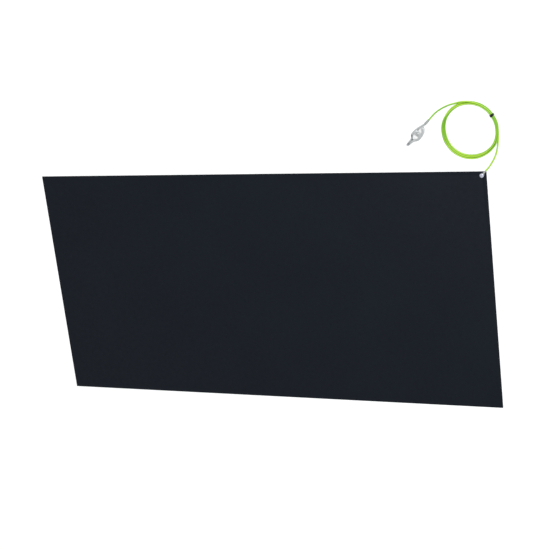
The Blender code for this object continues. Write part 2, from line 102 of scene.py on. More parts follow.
WIRE_END = 0.1 * MM

# Ring terminal, pointing out over the corner.
TERMINAL_AZIMUTH = math.radians(48)
TERMINAL_RING_RADIUS = 4.4 * MM
TERMINAL_HOLE_RADIUS = 2.0 * MM
TERMINAL_SHEET = 0.5 * MM
TERMINAL_SHEET_LOW = 5.45 * MM
TERMINAL_BARREL_REACH = (6.4 * MM, 14.2 * MM)
TERMINAL_BARREL_RADIUS = 1.95 * MM
TERMINAL_BARREL_WALL = 0.42 * MM
TERMINAL_CRIMPS = (9.4 * MM, 12.0 * MM)
TERMINAL_EDGE = 0.06 * MM
TERMINAL_AXIS_Z = 4.2 * MM
CONDUCTOR_RADIUS = 1.25 * MM
STRAND_TURN_LENGTH = 16 * MM
STRAND_POINT_STEP = 0.5 * MM
TOUCH_GAP = 0.3 * MM

# Earth lead.
CORD_DIAMETER = 3.8 * MM
CORD_RADIUS = CORD_DIAMETER / 2
CORD_LOW = CORD_RADIUS + 0.05 * MM
COIL_LOW, COIL_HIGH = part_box("cord_coil")
COIL_CENTRE = (COIL_LOW + COIL_HIGH).xy / 2
COIL_MEAN_RADIUS = 63.9 * MM
CORD_POINT_STEP = 3.0 * MM
CORD_SIDES = 20
STRIPE_TURN_LENGTH = 390 * MM
STRIPE_PHASE = -0.07
# Where a stripe fades out, in half turns from its middle.
STRIPE_EDGE = (0.205, 0.225)
# How far the coil is out of round, in cord diameters, as (angle, outward).
OUT_OF_ROUND = [(0, 0.16), (45, 0.2), (90, 0.16), (120, 0.15), (150, 0.35), (185, -0.22), (225, 0.05),
                (255, 0.15), (285, 0.2), (300, 0.25), (330, 0.4), (345, 0.35), (360, 0.16)]

# Cable tie.
TIE_ANGLE = 32.0
TIE_STRAP_THICKNESS = 1.0 * MM
TIE_STRAP_WIDTH = 4.8 * MM
TIE_INSIDE_HALF = 3.85 * MM
TIE_OUTWARD = 0.65 * MM
TIE_INSIDE_Z = (1.2 * MM, 9.0 * MM)
TIE_HEAD = (5.6 * MM, 6.2 * MM)
TIE_HEAD_TOP = 13.0 * MM
TIE_CORNER = 1.4 * MM
TIE_HEAD_CORNER = 0.9 * MM
TIE_HEAD_EDGE = 0.45 * MM
TIE_HEAD_LIFT = 0.3 * MM
TIE_SLOT_HALF = (0.9 * MM, 2.0 * MM)
TIE_SLOT_DEPTH = 1.2 * MM
TIE_SLOT_PLACE = -1.6 * MM
TIE_TAIL_LIFT = (1.9 * MM, 2.9 * MM)
# How far along the coil the strap under it lifts the cord.
TIE_LIFT_REACH = 11.0 * MM

# Crocodile clip, lying on its side. Its own axes are p, from the pivot to the nose, and q, across it.
CLIP_PIVOT = Vector(next(j["pos_m"] for j in frame["joints"] if j["name"] == "clip_open")).xy
CLIP_AZIMUTH = math.radians(223.5)
CLIP_SHEET = 0.8 * MM
CLIP_BEND = 1.3 * MM
CLIP_EDGE = 0.09 * MM
CLIP_OUTER_Z = (0.7 * MM, 9.7 * MM)
CLIP_NESTED_Z = (1.8 * MM, 8.6 * MM)
CLIP_MIDDLE_Z = sum(CLIP_OUTER_Z) / 2
PIN_RADIUS = 1.5 * MM
PIN_CLEARANCE = 0.1 * MM
EAR_RADIUS = 4.9 * MM
NOSE_TIP = 40.0 * MM
JAW_TEETH = 7
JAW_TOOTH_DEPTH = 0.9 * MM
JAW_MOUTH = (21.5 * MM, 39.0 * MM)
MOUTH_HALF_GAP = 0.15 * MM
JAW_GAPE = 0.75 * MM
JAW_GAPE_REACH = 33.0 * MM
JAW_GAPE_LENGTH = 3.2 * MM
NECK_OFFSET = -3.1 * MM
BARREL_REACH = (-36.0 * MM, -23.0 * MM)
BARREL_RADIUS = 2.3 * MM
BARREL_WALL = 0.6 * MM
BARREL_CRIMPS = (-30.5 * MM, -26.5 * MM)
BARREL_MOUTH = 0.3 * MM
INSULATION_END = -34.0 * MM
SLEEVE_REACH = (-43.0 * MM, -29.0 * MM)
SLEEVE_RADIUS = 2.9 * MM
SLEEVE_BORE = 2.45 * MM
SPRING_COIL_RADIUS = 2.45 * MM
SPRING_WIRE_RADIUS = 0.42 * MM
SPRING_TURNS = 4
SPRING_POINT_STEP = 0.5 * MM
SPRING_Z = (3.25 * MM, 7.15 * MM)
SPRING_LEG_ENDS = ((-11.5 * MM, -8.0 * MM), (-10.5 * MM, 8.4 * MM))

# Outlines of the clip's arms in millimetres, as (p, q). The backs run from tail to nose.
FIXED_BACK = [(-27, -5.4), (-21.5, -7.2), (-15, -9.0), (-7, -10.8), (2, -11.7), (9, -11.6), (14, -9.4),
              (17.5, -6.0), (21.5, -4.0), (30, -3.2), (37, -2.6)]
FIXED_WINDOW_FRONT = [(18.0, -1.4), (15.6, -3.6), (12.4, -6.0), (9.4, -6.9), (6.8, -6.2), (5.6, -3.4),
                      (5.4, -0.8)]
FIXED_WINDOW_REAR = [(-5.4, -0.8), (-5.5, -4.0), (-6.6, -7.2), (-8.8, -7.7), (-11.6, -6.2), (-14.2, -4.4),
                     (-17.5, -3.4), (-22, -3.3), (-27, -3.9)]
MOVING_BACK = [(-19.6, -1.2), (-19.8, 1.2), (-18.4, 4.2), (-15.4, 7.2), (-11.4, 9.6), (-5, 11.6), (2, 12.6),
               (8, 12.8), (13, 11.6), (17.5, 8.8), (22, 6.0), (29, 4.6), (37, 3.6)]
MOVING_WINDOW_FRONT = [(18.0, 1.8), (15.2, 3.8), (12.4, 6.4), (9.2, 7.9), (6.2, 7.4), (5.0, 5.2), (5.4, 1.4)]
MOVING_WINDOW_REAR = [(-5.4, 1.4), (-5.5, 3.6), (-6.8, 5.5), (-9.0, 5.2), (-11.4, 3.2), (-13.2, 0.8),
                      (-14.6, -1.1)]
# Where painted shade darkens the clip's plating (a shade spot by the cheek, one in the throat, one inside the
# gaping jaw, and the pin head's painted cast shadow), as ((p, q), radius, strength), and the colour there.
CLIP_PAINTED_SHADE = [((14.2 * MM, -7.6 * MM), 2.4 * MM, 0.75), ((20.5 * MM, 0.0), 1.9 * MM, 0.6),
                ((33.0 * MM, 1.0 * MM), 1.9 * MM, 0.7), ((-3.0 * MM, -2.0 * MM), 3.2 * MM, 0.35)]
PAINTED_SHADE_COLOUR = (0.13, 0.14, 0.14)

# The windows of the lower flanges reach further towards the pivot than those of the upper ones.
LOWER_WINDOW_FRONT = [(8.5, -6.8), (12, -6.4), (15.5, -4.2), (18.5, -1.8), (18.5, 1.2), (16, 3.6), (13, 6.2),
                      (10, 7.4), (8, 6.8)]
LOWER_WINDOW_REAR = [(-3.3, -6.8), (-6, -7.6), (-9, -6.8), (-12, -4.8), (-13, -2.4), (-11, 0.8), (-8.5, 3.6),
                     (-6, 5.4), (-3.3, 5.0)]

STAGE_SIZE = 9.0
FLOOR_Z = (-0.02, -0.0002)
WORLD_STRENGTH = 0.7
KEY_WATTS = 270
KEY_SIZE = (2.3, 2.3)
KEY_AIM = Vector((0.2, 0.15, 0.0))
KEY_PLACE = KEY_AIM + 6.0 * CAMERA_BACK - 0.5 * CAMERA_RIGHT


# ---------------------------------------------------------------- small tools


def link(name, data):
    obj = bpy.data.objects.new(name, data)
    bpy.context.scene.collection.objects.link(obj)
    return obj


def shade(mesh, angle=32):
    mesh.shade_smooth()
    mesh.set_sharp_from_angle(angle=math.radians(angle))


def mesh_object(name, bm):
    bmesh.ops.remove_doubles(bm, verts=bm.verts, dist=1e-7)
    bmesh.ops.recalc_face_normals(bm, faces=bm.faces)
    mesh = bpy.data.meshes.new(name)
    bm.to_mesh(mesh)
    bm.free()
    shade(mesh)
    return link(name, mesh)


def bake(obj):
    """Applies an object's modifiers, drops the slivers that they leave and closes small gaps."""
    bpy.context.view_layer.update()
    graph = bpy.context.evaluated_depsgraph_get()
    shaped = bpy.data.meshes.new_from_object(obj.evaluated_get(graph))
    bm = bmesh.new()
    bm.from_mesh(shaped)
    bmesh.ops.remove_doubles(bm, verts=bm.verts, dist=SLIVER)
    bmesh.ops.dissolve_degenerate(bm, edges=bm.edges, dist=SLIVER)
    bmesh.ops.holes_fill(bm, edges=[edge for edge in bm.edges if edge.is_boundary], sides=4)
    bm.to_mesh(shaped)
    bm.free()
    obj.modifiers.clear()
    obj.data = shaped
    shade(shaped)
    return obj


def boolean(obj, operation, tool):
    modifier = obj.modifiers.new("shape", "BOOLEAN")
    modifier.operation = operation
    modifier.solver = "EXACT"
    modifier.object = tool
    bake(obj)
    bpy.data.objects.remove(tool, do_unlink=True)


def bevel(obj, width, segments=2, angle=40):
    modifier = obj.modifiers.new("edges", "BEVEL")
    modifier.width = width
    modifier.segments = segments
    modifier.limit_method = "ANGLE"
    modifier.angle_limit = math.radians(angle)
    modifier.harden_normals = False
    bake(obj)


def place(obj, matrix):
    obj.data.transform(matrix)
    return obj


def catmull(points, step):
    """Points about one step apart on a smooth curve through the given points."""
    points = [np.array(p, float) for p in points]
    ends = [2 * points[0] - points[1], *points, 2 * points[-1] - points[-2]]
    dense = []
    for i in range(len(points) - 1):
        a, b, c, d = ends[i : i + 4]
        pieces = max(2, round(np.linalg.norm(c - b) / step))
        slope, bend, twist = c - a, 2 * a - 5 * b + 4 * c - d, 3 * b - a - 3 * c + d
        for k in range(pieces):
            t = k / pieces
            dense.append(0.5 * (2 * b + slope * t + bend * t**2 + twist * t**3))
    return np.array([*dense, points[-1]])


def distances(points):
    """How far along a line each of its points is."""
    return np.r_[0, np.cumsum(np.linalg.norm(np.diff(points, axis=0), axis=1))]


def resample(points, step):
    """The same line with its points one step apart."""
    lengths = distances(points)
    count = max(2, round(lengths[-1] / step)) + 1
    at = np.linspace(0, lengths[-1], count)
    return np.stack([np.interp(at, lengths, points[:, k]) for k in range(points.shape[1])], axis=1)


def lathe(name, profile_mm, segments=96):
    """A closed turned piece from its (radius, height) outline in millimetres."""
    bm = bmesh.new()
    verts = [bm.verts.new((r * MM, 0, z * MM)) for r, z in profile_mm]
    edges = [bm.edges.new(pair) for pair in zip(verts, verts[1:])]
    if profile_mm[0][0] > 0:
        edges.append(bm.edges.new((verts[-1], verts[0])))
    bmesh.ops.spin(bm, geom=verts + edges, cent=(0, 0, 0), axis=(0, 0, 1), angle=math.tau, steps=segments)
    return mesh_object(name, bm)


def slab(name, outline, low, high):
    bm = bmesh.new()
    face = bm.faces.new([bm.verts.new((x, y, low)) for x, y in outline])
    raised = bmesh.ops.extrude_face_region(bm, geom=[face])["geom"]
    verts = [v for v in raised if isinstance(v, bmesh.types.BMVert)]
    bmesh.ops.translate(bm, vec=(0, 0, high - low), verts=verts)
    return mesh_object(name, bm)


def circle(radius, sides):
    angles = [math.tau * i / sides for i in range(sides)]
    return [(radius * math.cos(a), radius * math.sin(a)) for a in angles]


def frames_along(path):
    """A tangent, a side and an upper direction at each point, carried along without twist."""
    tangents = np.gradient(path, axis=0)
    tangents /= np.linalg.norm(tangents, axis=1)[:, None]
    side = np.cross(tangents[0], (0, 0, 1.0))
    side /= np.linalg.norm(side)
    sides = []
    for tangent in tangents:
        side = side - tangent * side.dot(tangent)
        side /= np.linalg.norm(side)
        sides.append(side)
    sides = np.array(sides)
    return tangents, sides, np.cross(sides, tangents)


def swept_tube(name, path, radius, sides, cap_inset=0.0, twist=0.0, phase=0.0):
    """A round tube with closed ends. Its UV map holds turns around it, with the twist, and metres along."""
    tangents, across, up = frames_along(path)
    along = distances(path)
    bm = bmesh.new()
    layer = bm.loops.layers.uv.new("UVMap")
    loops = []
    for i, point in enumerate(path):
        ring = []
        for k in range(sides):
            a = math.tau * k / sides
            ring.append(bm.verts.new(point + radius * (math.cos(a) * across[i] + math.sin(a) * up[i])))
        loops.append(ring)
    for i in range(len(loops) - 1):
        for k in range(sides):
            j = (k + 1) % sides
            face = bm.faces.new((loops[i][k], loops[i][j], loops[i + 1][j], loops[i + 1][k]))
            corners = ((i, k), (i, k + 1), (i + 1, k + 1), (i + 1, k))
            for corner, (row, turn) in zip(face.loops, corners):
                corner[layer].uv = (turn / sides + phase + twist * along[row], along[row])
    for ring, tangent, outward in ((loops[0], tangents[0], -1), (loops[-1], tangents[-1], 1)):
        middle = bm.verts.new(np.mean([v.co for v in ring], axis=0) + outward * cap_inset * tangent)
        for k in range(sides):
            bm.faces.new((ring[k], ring[(k + 1) % sides], middle))
    bmesh.ops.recalc_face_normals(bm, faces=bm.faces)
    mesh = bpy.data.meshes.new(name)
    bm.to_mesh(mesh)
    bm.free()
    shade(mesh, 50)
    return link(name, mesh)


def pipe_wall(name, reaches, outer, inner, sides=64):
    """A pipe along +X whose outer and inner radii are functions of reach and angle."""
    bm = bmesh.new()

    def ring(x, radius):
        angles = [math.tau * k / sides for k in range(sides)]
        return [bm.verts.new((x, radius(x, a) * math.cos(a), radius(x, a) * math.sin(a))) for a in angles]

    loops = [ring(x, outer) for x in reaches] + [ring(x, inner) for x in reversed(reaches)]
    for first, second in zip(loops, loops[1:] + loops[:1]):
        for k in range(sides):
            j = (k + 1) % sides
            bm.faces.new((first[k], first[j], second[j], second[k]))
    return mesh_object(name, bm)


# ---------------------------------------------------------------- finishes


class Finish:
    """A procedural material: a Principled shader with a few texture nodes on its sockets."""

    def __init__(self, name, metallic=0.0, **constants):
        self.material = bpy.data.materials.new(name)
        self.material.use_nodes = True
        self.nodes = self.material.node_tree.nodes
        self.links = self.material.node_tree.links
        self.shader = self.nodes["Principled BSDF"]
        self.shader.inputs["Metallic"].default_value = metallic
        for socket, value in constants.items():
            self.shader.inputs[socket.replace("_", " ")].default_value = value
        coordinates = self.nodes.new("ShaderNodeTexCoord")
        self.space = coordinates.outputs["Object"]
        self.uv = coordinates.outputs["UV"]
        self.normal = None

    def feed(self, socket, value):
        if isinstance(value, bpy.types.NodeSocket):
            self.links.new(value, socket)
        else:
            socket.default_value = value

    def stretched(self, scale):
        mapping = self.nodes.new("ShaderNodeMapping")
        self.feed(mapping.inputs["Vector"], self.space)
        mapping.inputs["Scale"].default_value = scale
        return mapping.outputs["Vector"]

    def noise(self, scale, detail=3.0, roughness=0.55, vector=None):
        node = self.nodes.new("ShaderNodeTexNoise")
        self.feed(node.inputs["Vector"], vector or self.space)
        node.inputs["Scale"].default_value = scale
        node.inputs["Detail"].default_value = detail
        node.inputs["Roughness"].default_value = roughness
        return node.outputs["Fac"]

    def cells(self, scale, feature="F1", vector=None):
        node = self.nodes.new("ShaderNodeTexVoronoi")
        node.feature = feature
        self.feed(node.inputs["Vector"], vector or self.space)
        node.inputs["Scale"].default_value = scale
        return node.outputs["Distance"]

    def ramp(self, factor, stops):
        node = self.nodes.new("ShaderNodeValToRGB")
        self.feed(node.inputs["Fac"], factor)
        elements = node.color_ramp.elements
        while len(elements) < len(stops):
            elements.new(0.5)
        for element, (position, colour) in zip(elements, stops):
            element.position = position
            element.color = (*colour, 1.0)
        return node.outputs["Color"]

    def span(self, factor, low, high, from_low=0.3, from_high=0.7):
        node = self.nodes.new("ShaderNodeMapRange")
        self.feed(node.inputs["Value"], factor)
        node.inputs["From Min"].default_value = from_low
        node.inputs["From Max"].default_value = from_high
        node.inputs["To Min"].default_value = low
        node.inputs["To Max"].default_value = high
        return node.outputs["Result"]

    def math(self, operation, first, second=0.0, third=0.0):
        node = self.nodes.new("ShaderNodeMath")
        node.operation = operation
        for socket, value in zip(node.inputs, (first, second, third)):
            self.feed(socket, value)
        return node.outputs["Value"]

    def mix(self, factor, first, second):
        node = self.nodes.new("ShaderNodeMix")
        node.data_type = "RGBA"
        self.feed(node.inputs["Factor"], factor)
        for name, value in (("A", first), ("B", second)):
            socket = next(s for s in node.inputs if s.name == name and s.type == "RGBA")
            self.feed(socket, value if isinstance(value, bpy.types.NodeSocket) else (*value, 1.0))
        return next(s for s in node.outputs if s.type == "RGBA")

    def spot(self, centre, radius):
        """1 at a place, fading to 0 at about twice the radius from it."""
        node = self.nodes.new("ShaderNodeVectorMath")
        node.operation = "DISTANCE"
        self.feed(node.inputs[0], self.space)
        node.inputs[1].default_value = centre
        return self.span(node.outputs["Value"], 1.0, 0.0, 0.5 * radius, 2.0 * radius)

    def colour(self, socket):
        self.feed(self.shader.inputs["Base Color"], socket)

    def rough(self, socket):
        self.feed(self.shader.inputs["Roughness"], socket)

    def bump(self, height, distance, strength=1.0):
        node = self.nodes.new("ShaderNodeBump")
        self.feed(node.inputs["Height"], height)
        node.inputs["Distance"].default_value = distance
        node.inputs["Strength"].default_value = strength
        if self.normal:
            self.feed(node.inputs["Normal"], self.normal)
        self.normal = node.outputs["Normal"]
        self.feed(self.shader.inputs["Normal"], self.normal)


def rubber(name, dark, light, grain_scale):
    """Matte calendered rubber: a fine pebbled grain, cloudy tone and a few dry scuffs."""
    finish = Finish(name, Specular_IOR_Level=0.13)
    cloud = finish.noise(5.0, 5.0)
    mottle = finish.noise(260.0, 3.0)
    tone = finish.math("MULTIPLY_ADD", mottle, 0.5, finish.math("MULTIPLY", cloud, 0.5))
    scuffs = finish.noise(30.0, 6.0, 0.7, finish.stretched((1.0, 3.0, 1.0)))
    worn = finish.span(scuffs, 0.0, 0.25, 0.62, 0.8)
    base = finish.ramp(tone, [(0.35, dark), (0.65, light)])
    finish.colour(finish.mix(worn, base, tuple(2.2 * c for c in light)))
    finish.rough(finish.span(finish.noise(90.0, 4.0), 0.52, 0.7))
    finish.bump(finish.cells(grain_scale, "SMOOTH_F1"), 0.00006, 0.5)
    finish.bump(finish.noise(grain_scale * 2.5, 2.0), 0.00003, 0.4)
    return finish.material


def carbon_scrim():
    finish = Finish("carbon_scrim", Specular_IOR_Level=0.3)
    fibres = finish.noise(900.0, 4.0, 0.6, finish.stretched((1.0, 1.0, 6.0)))
    finish.colour(finish.ramp(fibres, [(0.3, (0.004, 0.004, 0.005)), (0.7, (0.03, 0.03, 0.034))]))
    finish.rough(finish.span(fibres, 0.5, 0.85))
    finish.bump(fibres, 0.00005)
    return finish.material


def earth_insulation():
    """Green insulation with two lengthwise yellow stripes. The cord's own twist brings them round."""
    finish = Finish("earth_insulation", Specular_IOR_Level=0.42, Coat_Weight=0.08)
    split = finish.nodes.new("ShaderNodeSeparateXYZ")
    finish.feed(split.inputs["Vector"], finish.uv)
    doubled = finish.math("MULTIPLY", split.outputs["X"], 2.0)
    turn = finish.math("FRACT", doubled)
    off_centre = finish.math("ABSOLUTE", finish.math("SUBTRACT", turn, 0.5))
    wander = finish.math("MULTIPLY", finish.math("SUBTRACT", finish.noise(140.0, 2.0), 0.5), 0.05)
    edge = finish.math("ADD", off_centre, wander)
    stripe = finish.span(edge, 1.0, 0.0, *STRIPE_EDGE)
    cloud = finish.noise(70.0, 3.0)
    green = finish.ramp(cloud, [(0.3, (0.145, 0.375, 0.02)), (0.7, (0.18, 0.43, 0.026))])
    yellow = finish.ramp(cloud, [(0.3, (0.335, 0.545, 0.03)), (0.7, (0.39, 0.61, 0.04))])
    finish.colour(finish.mix(stripe, green, yellow))
    finish.rough(finish.span(finish.noise(500.0, 3.0), 0.3, 0.46))
    slanted = finish.math("ADD", split.outputs["X"], finish.math("MULTIPLY", split.outputs["Y"], 60.0))
    lay = finish.math("SINE", finish.math("MULTIPLY", slanted, 44.0))
    finish.bump(lay, 0.00002, 0.3)
    finish.bump(finish.noise(1500.0, 2.0), 0.00001, 0.5)
    return finish.material


def plated(name, colour, low_rough, high_rough, stain=0.72, painted_shade_spots=()):
    """Bright plating: a fine grain, faint stains, a net of hairline marks and a few spots of painted shade
    darkening the colour.
    """
    finish = Finish(name, metallic=1.0)
    lines = finish.noise(700.0, 4.0, 0.6)
    stains = finish.noise(160.0, 4.0, 0.6)
    dull = tuple(stain * c for c in colour)
    worn = finish.mix(finish.span(stains, 0.0, 1.0, 0.42, 0.68), colour, dull)
    # Each spot below darkens the colour with painted shade, so after this loop worn holds the real stains and
    # the painted shade.
    for centre, radius, strength in painted_shade_spots:
        worn = finish.mix(finish.math("MULTIPLY", finish.spot(centre, radius), strength), worn, PAINTED_SHADE_COLOUR)
    finish.colour(worn)
    scratch = finish.cells(420.0, "DISTANCE_TO_EDGE", finish.stretched((1.0, 0.22, 1.0)))
    marks = finish.span(scratch, 0.14, 0.0, 0.0, 0.03)
    finish.rough(finish.math("ADD", finish.span(lines, low_rough, high_rough), marks))
    finish.bump(lines, 0.00001, 0.6)
    finish.bump(stains, 0.00003, 0.4)
    return finish.material


def moulded(name, dark, light, low_rough, high_rough):
    """Moulded or extruded plastic with a fine spark-eroded texture."""
    finish = Finish(name, Specular_IOR_Level=0.16)
    cloud = finish.noise(350.0, 4.0)
    finish.colour(finish.ramp(cloud, [(0.3, dark), (0.7, light)]))
    finish.rough(finish.span(finish.noise(900.0, 3.0), low_rough, high_rough))
    finish.bump(finish.noise(2500.0, 3.0), 0.00002, 0.6)
    return finish.material


def floor_paint():
    finish = Finish("floor_paint", Specular_IOR_Level=0.1)
    cloud = finish.noise(1.5, 3.0)
    finish.colour(finish.ramp(cloud, [(0.3, (0.93, 0.93, 0.93)), (0.7, (0.95, 0.95, 0.95))]))
    finish.rough(finish.span(finish.noise(40.0, 3.0), 0.75, 0.9))
    return finish.material


def dress(obj, material, body=None, replaces=()):
    """Gives a new piece its material, its CAD body and the nodes that it stands for."""
    obj.data.materials.clear()
    obj.data.materials.append(material)
    if replaces:
        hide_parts(*replaces)
    if body:
        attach(obj, body)
    return obj


# ---------------------------------------------------------------- stage


def build_camera():
    camera = bpy.data.cameras.new("camera")
    camera.sensor_width = SENSOR_MM
    camera.lens = LENS_MM
    camera.clip_start = 0.05
    obj = link("camera", camera)
    up = CAMERA_BACK.cross(CAMERA_RIGHT).normalized()
    right = up.cross(CAMERA_BACK).normalized()
    turn = Matrix((right, up, CAMERA_BACK.normalized())).transposed()
    obj.matrix_world = Matrix.Translation(CAMERA_PLACE) @ turn.to_4x4()
    bpy.context.scene.camera = obj


def softbox(name, location, target, size, watts):
    light = bpy.data.lights.new(name, "AREA")
    light.shape = "RECTANGLE"
    light.size, light.size_y = size
    light.energy = watts
    obj = link(name, light)
    obj.location = location
    obj.rotation_euler = (Vector(target) - Vector(location)).to_track_quat("-Z", "Y").to_euler()


def build_stage():
    x = STAGE_SIZE
    floor = slab("floor", [(-x, -x), (x, -x), (x, x), (-x, x)], *FLOOR_Z)
    floor.data.materials.append(floor_paint())
    world = bpy.data.worlds.new("studio")
    world.use_nodes = True
    background = world.node_tree.nodes["Background"]
    background.inputs["Color"].default_value = (0.97, 0.985, 1.0, 1.0)
    background.inputs["Strength"].default_value = WORLD_STRENGTH
    bpy.context.scene.world = world
    softbox("key_light", KEY_PLACE, KEY_AIM, KEY_SIZE, KEY_WATTS)
    bpy.context.scene.view_settings.view_transform = "Standard"


# ---------------------------------------------------------------- earth lead


def clip_matrix():
    return Matrix.Translation((*CLIP_PIVOT, 0)) @ Matrix.Rotation(CLIP_AZIMUTH, 4, "Z")


def terminal_matrix():
    return Matrix.Translation((*STUD_XY, 0)) @ Matrix.Rotation(TERMINAL_AZIMUTH, 4, "Z")


def coil_lay():
    """Where the strands lie in the coil's section, as (angle, across, above the floor), in cord diameters.

    Beside the tie the four passes lie two on two. On the far side the three passes lie beside each other."""
    passes = [
        [(0, 0.5, 0), (30, 0.5, 0), (100, 0.48, 0), (150, 0.1, 0), (200, 0, 0), (250, 0, 0), (282, -0.25, 0),
         (300, -0.42, 0), (330, -0.5, 0)],
        [(0, -0.5, 0), (30, -0.5, 0), (100, -0.52, 0), (150, -0.9, 0), (200, -1, 0), (250, -1, 0),
         (272, -1.15, 0.25), (290, -1.05, 0.55), (306, -0.75, 0.88), (325, -0.5, 1)],
        [(0, -0.5, 1), (30, -0.5, 1), (100, -0.5, 0.98), (140, -0.35, 0.88), (170, 0.5, 0.88),
         (195, 1.0, 0.1), (250, 1.02, 0), (282, 0.82, 0), (300, 0.65, 0), (322, 0.52, 0.06),
         (336, 0.5, 0.5), (348, 0.5, 0.95)],
        [(0, 0.5, 1), (30, 0.5, 1), (75, 0.52, 1), (92, 0.72, 0.86), (103, 1.02, 0.5), (112, 1.5, 0.12)],
    ]
    return [(turn * 360 + angle, across, above)
            for turn, strands in enumerate(passes) for angle, across, above in strands]


def coil_guide():
    """The strands' path around the coil before they settle."""
    keys = np.array(coil_lay())
    turned = np.arange(keys[0, 0], keys[-1, 0] + 0.1, 3.0)
    across, above = (np.interp(turned, keys[:, 0], keys[:, k]) for k in (1, 2))
    across += np.interp(turned % 360, *zip(*OUT_OF_ROUND))
    angle = np.radians(turned)
    reach = COIL_MEAN_RADIUS + across * CORD_DIAMETER
    height = floor_height(angle) + above * CORD_DIAMETER
    across_floor, along_floor = reach * np.cos(angle), reach * np.sin(angle)
    return np.stack([COIL_CENTRE.x + across_floor, COIL_CENTRE.y + along_floor, height], axis=1)


def floor_height(angle):
    """The lowest that the cord's middle can be, on the floor or on the tie's strap where that is under it."""
    from_tie = (np.degrees(angle) - TIE_ANGLE + 180) % 360 - 180
    arc = np.radians(from_tie) * COIL_MEAN_RADIUS
    lift = TIE_STRAP_THICKNESS * np.exp(-((arc / TIE_LIFT_REACH) ** 2))
    return CORD_LOW + lift


def cord_route():
    """The lead from the snap's terminal to the inside of the clip's sleeve."""
    outward = Vector((math.cos(TERMINAL_AZIMUTH), math.sin(TERMINAL_AZIMUTH)))
    reach = TERMINAL_BARREL_REACH[1] + 0.2 * MM + TOUCH_GAP
    start = STUD_XY + reach * outward
    after = STUD_XY + (reach + 3.5 * MM) * outward
    low = CORD_LOW
    lead_in = [(start.x, start.y, TERMINAL_AXIS_Z), (after.x, after.y, 4.0 * MM), (0.6071, 0.3099, 0.0030),
               (0.6124, 0.3172, low), (0.6187, 0.3267, low), (0.6237, 0.3360, low), (0.6275, 0.3456, low),
               (0.6302, 0.3555, low), (0.6320, 0.3653, low), (0.6334, 0.3760, low), (0.6341, 0.3875, low)]
    mouth = clip_matrix() @ Vector((SLEEVE_REACH[0] - TOUCH_GAP, NECK_OFFSET, CLIP_MIDDLE_Z))
    behind = clip_matrix() @ Vector((SLEEVE_REACH[0] - 6 * MM, NECK_OFFSET - 0.2 * MM, 3.9 * MM))
    halfway = clip_matrix() @ Vector((SLEEVE_REACH[0] + 4 * MM, NECK_OFFSET, CLIP_MIDDLE_Z))
    inside = clip_matrix() @ Vector((INSULATION_END, NECK_OFFSET, CLIP_MIDDLE_Z))
    lead_out = [(0.5334, 0.4627, low), (0.5231, 0.4601, low), (0.5084, 0.4542, low), (0.4945, 0.4464, low),
                (0.4862, 0.4400, low), tuple(behind), tuple(mouth), tuple(halfway), tuple(inside)]
    return np.array(lead_in), coil_guide(), np.array(lead_out)


def settled(path, passes=160):
    """Lets the strands rest on the floor and on each other. The two ends stay in place."""
    path = path.copy()
    guide = path.copy()
    count = len(path)
    push_share, smooth_share, return_share, eased_points = 0.35, 0.25, 0.03, 8.0
    index = np.arange(count)
    far = np.abs(index[:, None] - index[None, :]) > 2.2 * CORD_DIAMETER / CORD_POINT_STEP + 2
    ease = np.clip(np.minimum(index, count - 1 - index) / eased_points, 0, 1)[:, None]
    centre = np.array(COIL_CENTRE)
    for _ in range(passes):
        gap = path[:, None, :] - path[None, :, :]
        distance = np.linalg.norm(gap, axis=2)
        close = far & (distance < CORD_DIAMETER)
        push = np.where(close, (CORD_DIAMETER - distance) / np.maximum(distance, 1e-6), 0)
        shift = push_share * (gap * push[:, :, None]).sum(axis=1)
        strain = path - guide
        shift[1:-1] += smooth_share * (strain[2:] + strain[:-2] - 2 * strain[1:-1])
        shift -= return_share * strain
        path += ease * shift
        relative = path[:, :2] - centre
        on_coil = np.abs(np.linalg.norm(relative, axis=1) - COIL_MEAN_RADIUS) < 4 * CORD_DIAMETER
        floor = np.where(on_coil, floor_height(np.arctan2(relative[:, 1], relative[:, 0])), CORD_LOW)
        path[:, 2] = np.where(ease[:, 0] > 0.99, np.maximum(path[:, 2], floor), path[:, 2])
    return path


def build_cord(material):
    lead_in, coil, lead_out = cord_route()
    guide = catmull(np.vstack([lead_in, coil[3:], lead_out]), CORD_POINT_STEP / 2)
    path = settled(resample(guide, CORD_POINT_STEP))
    cord = swept_tube("earth_cord", path, CORD_RADIUS, CORD_SIDES, twist=1 / STRIPE_TURN_LENGTH,
                      phase=STRIPE_PHASE)
    length = float(np.linalg.norm(np.diff(path, axis=0), axis=1).sum())
    dress(cord, material, replaces=("cord_lead_in", "cord_coil", "cord_lead_out"))
    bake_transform(cord)
    return cord, path, length


# ---------------------------------------------------------------- mat


def build_mat(rubber_top, rubber_base, scrim):
    """Three bonded layers: two of rubber with soft edges, and the conductive scrim between them."""
    x, y = TOP_HIGH.x, TOP_HIGH.y
    outline = rounded_rectangle(x, y, MAT_CORNER_RADIUS)
    top = slab("mat_top", outline, TOP_LOW.z, TOP_HIGH.z)
    punch(top, MAT_HOLE_RADIUS, *PUNCH_REACH)
    bevel(top, TOP_EDGE, 3)
    base = slab("mat_base", outline, BASE_LOW.z, BASE_HIGH.z)
    punch(base, MAT_HOLE_RADIUS, *PUNCH_REACH)
    punch(base, EYELET_RECESS_RADIUS, -MM, EYELET_RECESS_DEPTH)
    bevel(base, BASE_EDGE, 2)
    dress(top, rubber_top, "mat", ["top_layer"])
    dress(base, rubber_base, "mat", ["base_layer"])
    inner = rounded_rectangle(x - SCRIM_INSET, y - SCRIM_INSET, MAT_CORNER_RADIUS - SCRIM_INSET)
    layer = slab("mat_scrim", inner, SCRIM_LOW.z, SCRIM_HIGH.z)
    punch(layer, MAT_HOLE_RADIUS, *PUNCH_REACH)
    dress(layer, scrim, "mat", ["conductive_layer"])


